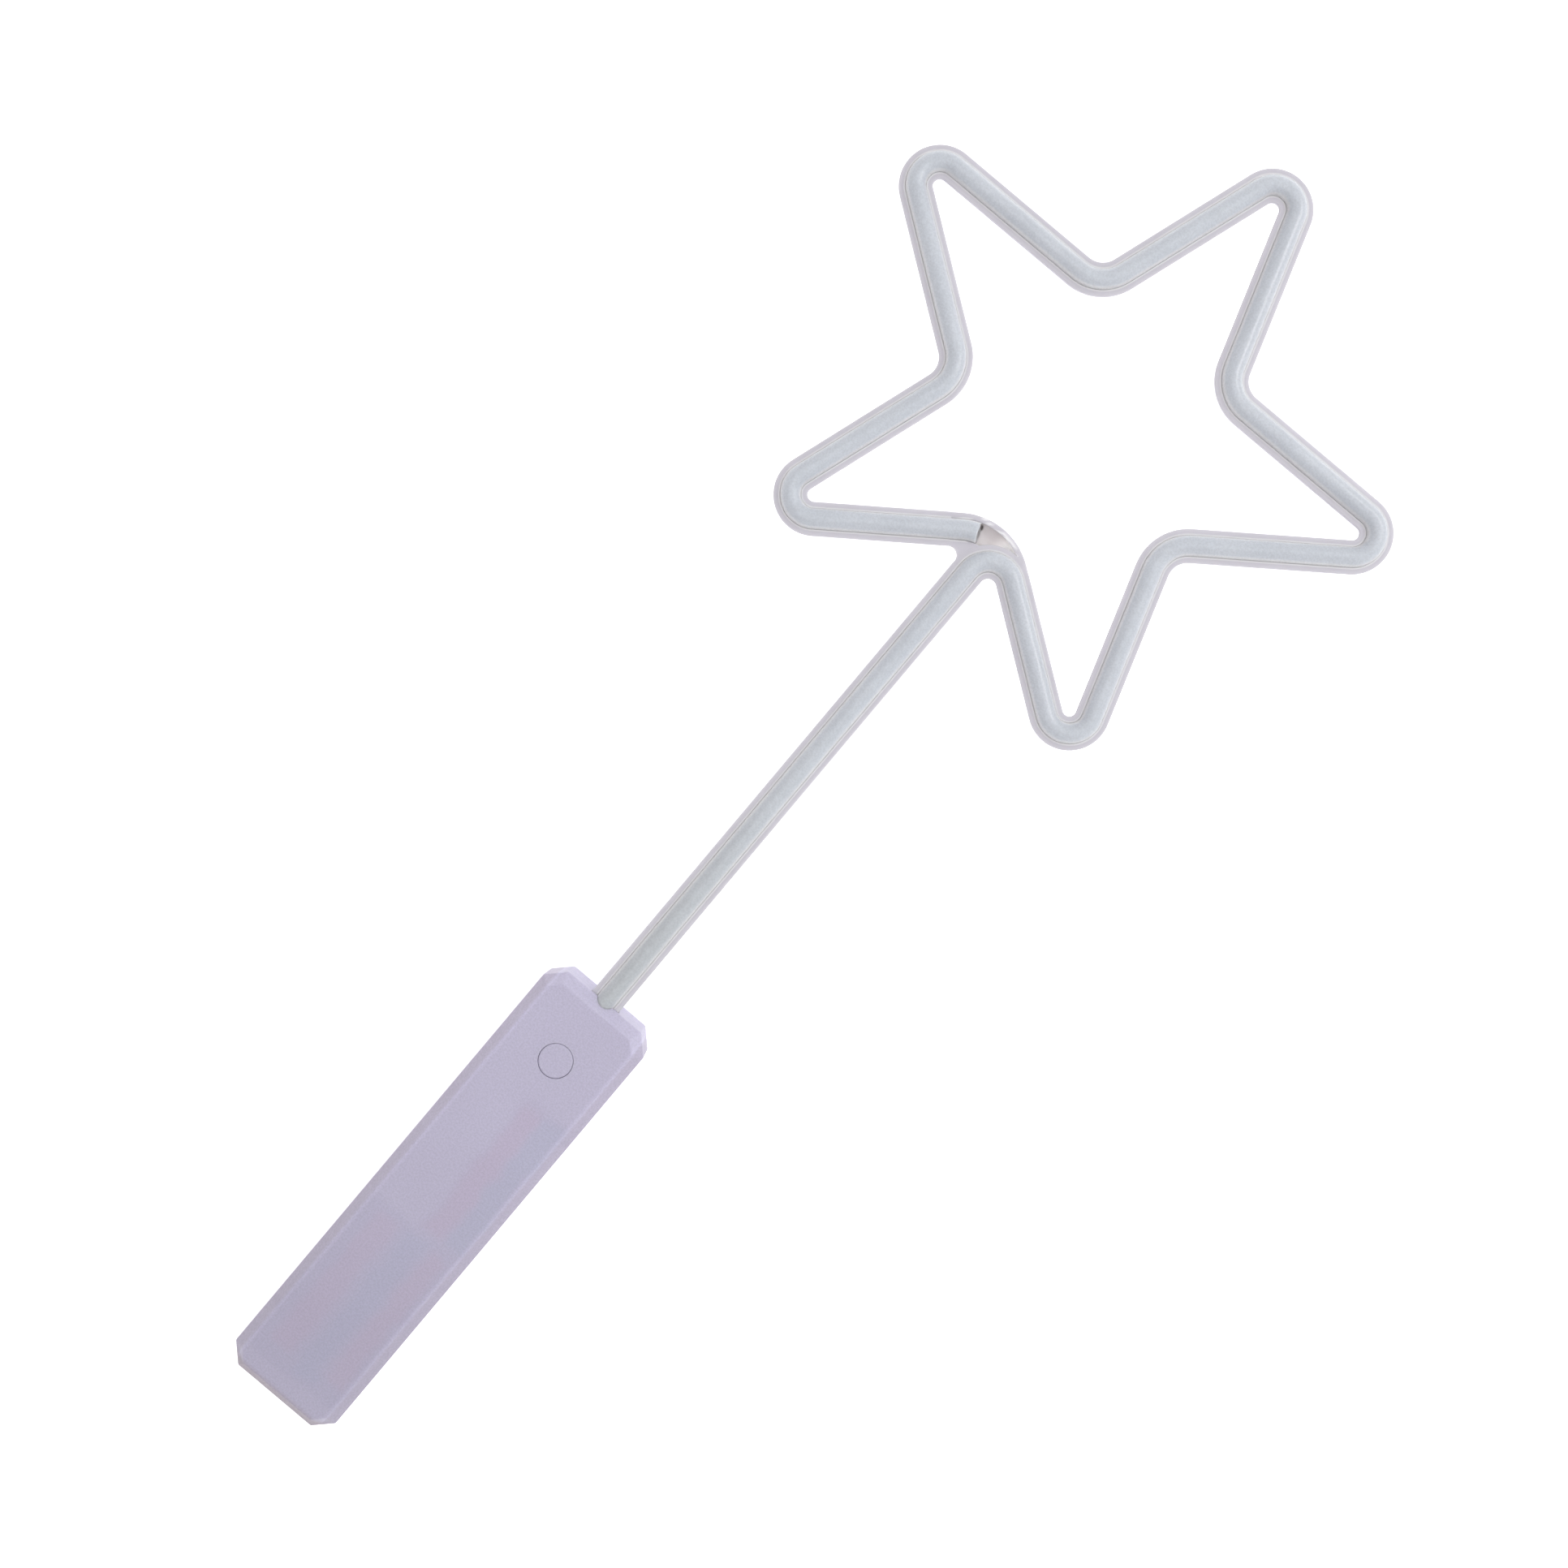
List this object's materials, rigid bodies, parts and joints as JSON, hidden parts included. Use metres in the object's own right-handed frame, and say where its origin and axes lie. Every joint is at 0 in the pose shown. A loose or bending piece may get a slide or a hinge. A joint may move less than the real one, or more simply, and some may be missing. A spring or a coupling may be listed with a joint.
{
  "type": "light-up star wand",
  "caption": "Toy wand with a bevelled battery handle, a flush push button, a channelled stem and an open star outlined by a translucent light tube.",
  "frame": {"origin": "under the middle of the whole wand's box, on the surface that the handle's back lies on", "axes": "+Y along the wand from the butt to the star's top point, +Z out of the front face with the button, +X to the right"},
  "size_m": [0.1694, 0.433, 0.02],
  "materials": {
    "lavender_plastic": "satin lavender translucent moulding",
    "frosted_channel": "frosted lavender-white moulding",
    "milky_tube": "glossy milky silicone",
    "steel_screw": "zinc plated",
    "contact_metal": "nickel plated",
    "cell_wrap": "plain printed sleeve",
    "board_green": "solder mask",
    "black_component": "moulded black",
    "red_lead": "insulation",
    "black_lead": "insulation",
    "white_lead": "insulation",
    "strip_board": "flexible board",
    "lamp_yellow": "lamp resin"
  },
  "bodies": {
    "wand": {"front_shell": "lavender_plastic", "back_shell": "lavender_plastic", "case_screws": "steel_screw", "tact_switch": "black_component", "circuit_board": "board_green", "board_screws": "steel_screw", "driver_chip": "black_component", "board_components": "black_component", "battery_lower_right": "cell_wrap", "battery_upper_right": "cell_wrap", "battery_lower_left": "cell_wrap", "positive_contact": "contact_metal", "middle_contact": "contact_metal", "bridge_contact": "contact_metal", "negative_contact": "contact_metal", "contact_springs": "contact_metal", "positive_lead": "red_lead", "negative_lead": "black_lead", "led_leads": "white_lead", "star_carrier": "frosted_channel", "neon_tube": "milky_tube", "led_strip": "strip_board", "led_chips": "lamp_yellow"},
    "button": {"power_button": "lavender_plastic", "switch_plunger": "black_component"},
    "door": {"battery_door": "lavender_plastic", "door_screw": "steel_screw"}
  },
  "joints": [
    {"name": "button_press", "type": "slide", "parent": "wand", "child": "button", "axis": [0, 0, -1], "range_m": [0, 0.0006], "stiffness_N_per_m": 1200},
    {"name": "door_hinge", "type": "hinge", "parent": "wand", "child": "door", "pos_m": [0, -0.10829, 0], "axis": [1, 0, 0], "range_deg": [0, 75]}
  ]
}
